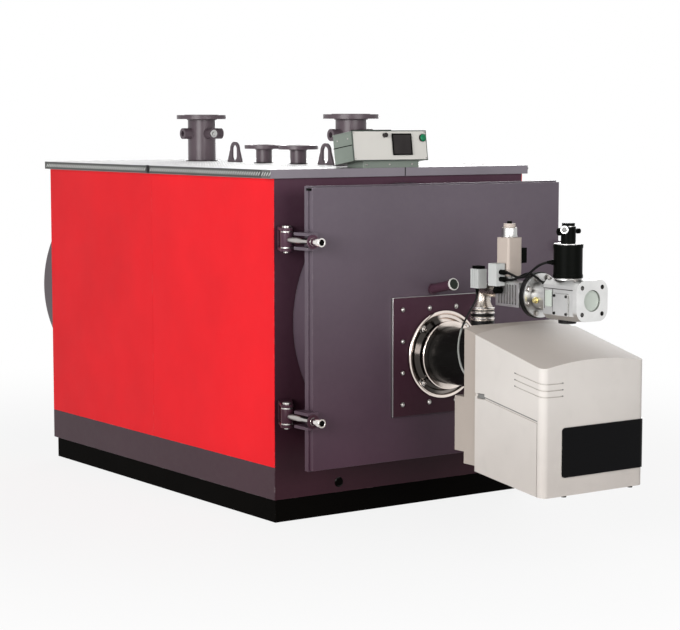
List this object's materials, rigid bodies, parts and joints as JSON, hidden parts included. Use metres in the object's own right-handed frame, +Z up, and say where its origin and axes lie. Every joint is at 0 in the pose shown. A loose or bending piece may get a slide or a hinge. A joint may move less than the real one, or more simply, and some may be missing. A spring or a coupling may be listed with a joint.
{
  "type": "industrial hot-water boiler with gas burner",
  "caption": "Floor-standing hot-water boiler: red insulated casing on a black plinth, round body, hinged front door carrying a gas burner and gas train, flanged nozzles on top.",
  "frame": {"origin": "on the floor under the middle of the casing", "axes": "+X to the right seen from the front, +Y to the rear along the casing, +Z up; the door and burner face -Y"},
  "size_m": [1.412, 3.6405, 1.708],
  "materials": {
    "casing_red": "satin powder coat",
    "panel_purple": "satin powder coat",
    "door_purple": "satin powder coat",
    "plinth_black": "matte paint",
    "boiler_grey": "satin paint",
    "deck_steel": "chequer plate",
    "furnace_steel": "heat-darkened steel",
    "refractory": "cast refractory",
    "fastener_steel": "turned steel",
    "bright_steel": "polished steel",
    "burner_black": "black enamel",
    "cover_grey": "moulded cover",
    "body_grey": "cast and painted",
    "panel_black": "gloss black",
    "valve_silver": "die cast",
    "actuator_beige": "moulded",
    "switch_grey": "moulded",
    "flange_dark": "black paint",
    "coil_black": "moulded",
    "cable_black": "cable sheath",
    "box_green": "satin paint",
    "fascia_light": "moulded fascia",
    "display_black": "dark window"
  },
  "bodies": {
    "boiler": {"base_frame": "plinth_black", "saddles": "plinth_black", "boiler_shell": "boiler_grey", "tube_plate": "furnace_steel", "water_wall": "furnace_steel", "furnace": "furnace_steel", "rear_plate": "furnace_steel", "rear_smokebox": "boiler_grey", "flue_outlet": "boiler_grey", "front_panel": "panel_purple", "rear_panel": "panel_purple", "left_skirt": "panel_purple", "right_skirt": "panel_purple", "left_panel_front": "casing_red", "left_panel_rear": "casing_red", "right_panel_front": "casing_red", "right_panel_rear": "casing_red", "top_plate_front": "deck_steel", "top_plate_rear": "deck_steel", "front_top_rail": "panel_purple", "flow_nozzle": "boiler_grey", "return_nozzle": "boiler_grey", "safety_nozzles": "boiler_grey", "lifting_eyes": "boiler_grey", "control_bracket": "box_green", "control_box": "box_green", "control_fascia": "fascia_light", "control_fittings": "display_black", "hinge_brackets": "panel_purple", "hinge_pins": "fastener_steel", "closing_posts": "panel_purple"},
    "door": {"door_frame": "door_purple", "door_cover": "door_purple", "door_lining": "refractory", "hinge_bolts": "fastener_steel", "hinge_nuts": "bright_steel", "closing_bolts": "bright_steel", "burner_plate": "panel_purple", "burner_mount": "bright_steel", "burner_tube": "burner_black", "sight_tube": "panel_purple", "burner_body": "body_grey", "burner_cover": "cover_grey", "burner_panel": "panel_black", "gas_elbow": "valve_silver", "gas_valve": "valve_silver", "valve_actuator": "actuator_beige", "pressure_switches": "switch_grey", "switch_caps": "coil_black", "gas_flanges": "flange_dark", "main_valve": "valve_silver", "valve_coil": "coil_black", "switch_lead": "cable_black", "coil_lead": "cable_black", "valve_lead": "cable_black"}
  },
  "joints": [
    {"name": "door_swing", "type": "hinge", "parent": "boiler", "child": "door", "pos_m": [-0.69, -1.131, 0.834], "axis": [0, 0, -1], "range_deg": [0, 100]}
  ]
}
